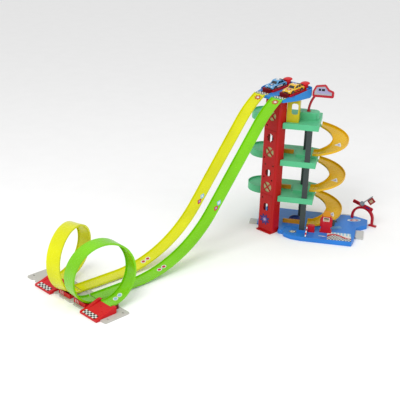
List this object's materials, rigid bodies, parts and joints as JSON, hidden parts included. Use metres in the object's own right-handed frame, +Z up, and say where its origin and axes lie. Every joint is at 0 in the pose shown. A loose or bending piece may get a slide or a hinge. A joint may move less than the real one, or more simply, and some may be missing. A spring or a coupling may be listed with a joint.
{
  "type": "gravity loop track toy with parking garage",
  "caption": "Twin-lane gravity loop track: a tall parking-garage tower with spiral ramps launches two toy cars down sloping lanes into side-by-side loops.",
  "frame": {"origin": "on the floor under the middle of the tower shaft's front face", "axes": "-X runs down the lanes to the loops, +Y points to the far yellow lane, +Z is up"},
  "size_m": [1.4731, 0.6489, 0.6414],
  "materials": {
    "base_blue": "satin moulded",
    "shaft_red": "satin moulded",
    "post_dark": "satin moulded",
    "deck_mint": "satin moulded",
    "column_grey": "satin moulded",
    "spiral_amber": "satin moulded",
    "wall_lemon": "satin moulded",
    "guard_orange": "satin moulded",
    "track_lime": "glossy flexible",
    "track_yellow": "glossy flexible",
    "plate_white": "satin moulded",
    "ramp_red": "satin moulded",
    "clip_dark_red": "satin moulded",
    "tray_blue": "satin moulded",
    "pin_steel": "drawn wire",
    "car_yellow": "painted",
    "car_blue": "painted",
    "car_chassis": "matte moulded",
    "car_wheel": "moulded wheels",
    "sign_red": "satin moulded",
    "pump_red": "satin moulded",
    "barrier_white": "printed stripes",
    "arch_red": "satin moulded",
    "disc_pale": "printed",
    "pole_grey": "satin moulded",
    "flag_red": "printed",
    "connector_grey": "satin moulded"
  },
  "bodies": {
    "track_set": {"barrier_post": "pump_red", "car_bed_far": "ramp_red", "car_bed_near": "ramp_red", "deck_columns_1": "column_grey", "deck_columns_2": "column_grey", "deck_columns_3": "column_grey", "finish_arch": "arch_red", "finish_banner": "arch_red", "finish_disc": "disc_pale", "finish_ramp_far": "ramp_red", "finish_ramp_near": "ramp_red", "garage_base": "base_blue", "garage_deck_1": "deck_mint", "garage_deck_2": "deck_mint", "garage_deck_3": "deck_mint", "green_loop": "track_lime", "green_track_lower": "track_lime", "green_track_upper": "track_lime", "hinge_pins": "pin_steel", "launch_tray": "tray_blue", "loop_cradle_far": "ramp_red", "loop_cradle_near": "ramp_red", "loop_exit_clips": "clip_dark_red", "loop_plate_far": "plate_white", "loop_plate_near": "plate_white", "orange_guards": "guard_orange", "pump_body": "pump_red", "pump_nozzle": "column_grey", "pump_top": "guard_orange", "shaft_panel_lower": "shaft_red", "shaft_panel_middle": "shaft_red", "shaft_panel_upper": "shaft_red", "shaft_post": "post_dark", "sign_frame": "sign_red", "sign_post": "sign_red", "spiral_ramp_1": "spiral_amber", "spiral_ramp_2": "spiral_amber", "spiral_ramp_3": "spiral_amber", "top_deck_housing": "deck_mint", "track_connectors": "connector_grey", "track_joint_clips": "clip_dark_red", "tray_support_wall": "wall_lemon", "yellow_loop": "track_yellow", "yellow_track_lower": "track_yellow", "yellow_track_upper": "track_yellow"},
    "lever_near": {"launch_lever_near": "ramp_red"},
    "gate_near": {"start_gate_near": "clip_dark_red"},
    "yellow_car": {"yellow_car_body": "car_yellow", "yellow_car_chassis": "car_chassis"},
    "yellow_car_front_axle": {"yellow_car_front_wheels": "car_wheel"},
    "yellow_car_rear_axle": {"yellow_car_rear_wheels": "car_wheel"},
    "lever_far": {"launch_lever_far": "ramp_red"},
    "gate_far": {"start_gate_far": "clip_dark_red"},
    "blue_car": {"blue_car_body": "car_blue", "blue_car_chassis": "car_chassis"},
    "blue_car_front_axle": {"blue_car_front_wheels": "car_wheel"},
    "blue_car_rear_axle": {"blue_car_rear_wheels": "car_wheel"},
    "barrier": {"barrier_arm": "barrier_white"},
    "flag": {"flag_pole": "pole_grey", "flag_panel": "flag_red"}
  },
  "joints": [
    {"name": "lever_near_press", "type": "hinge", "parent": "track_set", "child": "lever_near", "pos_m": [0.14561, -0.035, 0.6137], "axis": [0, 1, 0], "range_deg": [0, 8], "stiffness_Nm_per_rad": 0.05, "springref_deg": -11.46},
    {"name": "gate_near_fold", "type": "hinge", "parent": "track_set", "child": "gate_near", "pos_m": [0.02731, -0.035, 0.59536], "axis": [0, -1, 0], "range_deg": [0, 75]},
    {"name": "yellow_car_lift", "type": "slide", "parent": "track_set", "child": "yellow_car", "axis": [-0.0785, 0, 0.9969], "range_m": [0, 0.06]},
    {"name": "yellow_car_front_spin", "type": "hinge", "parent": "yellow_car", "child": "yellow_car_front_axle", "pos_m": [0.05641, -0.035, 0.61239], "axis": [0, 1, 0], "continuous": true},
    {"name": "yellow_car_rear_spin", "type": "hinge", "parent": "yellow_car", "child": "yellow_car_rear_axle", "pos_m": [0.11024, -0.035, 0.61663], "axis": [0, 1, 0], "continuous": true},
    {"name": "lever_far_press", "type": "hinge", "parent": "track_set", "child": "lever_far", "pos_m": [0.14561, 0.057, 0.6137], "axis": [0, 1, 0], "range_deg": [0, 8], "stiffness_Nm_per_rad": 0.05, "springref_deg": -11.46},
    {"name": "gate_far_fold", "type": "hinge", "parent": "track_set", "child": "gate_far", "pos_m": [0.02731, 0.057, 0.59536], "axis": [0, -1, 0], "range_deg": [0, 75]},
    {"name": "blue_car_lift", "type": "slide", "parent": "track_set", "child": "blue_car", "axis": [-0.0785, 0, 0.9969], "range_m": [0, 0.06]},
    {"name": "blue_car_front_spin", "type": "hinge", "parent": "blue_car", "child": "blue_car_front_axle", "pos_m": [0.05641, 0.057, 0.61239], "axis": [0, 1, 0], "continuous": true},
    {"name": "blue_car_rear_spin", "type": "hinge", "parent": "blue_car", "child": "blue_car_rear_axle", "pos_m": [0.11024, 0.057, 0.61663], "axis": [0, 1, 0], "continuous": true},
    {"name": "barrier_raise", "type": "hinge", "parent": "track_set", "child": "barrier", "pos_m": [0.11279, -0.14615, 0.038], "axis": [-0.5446, 0.8387, 0], "range_deg": [0, 80]},
    {"name": "flag_swing", "type": "hinge", "parent": "track_set", "child": "flag", "pos_m": [0.37718, -0.23018, 0.1], "axis": [-0.9781, -0.2079, 0], "range_deg": [-35, 40]}
  ],
  "couplings": [
    {"joint": "gate_near_fold", "follows": "lever_near_press", "ratio": 9.375},
    {"joint": "gate_far_fold", "follows": "lever_far_press", "ratio": 9.375}
  ]
}
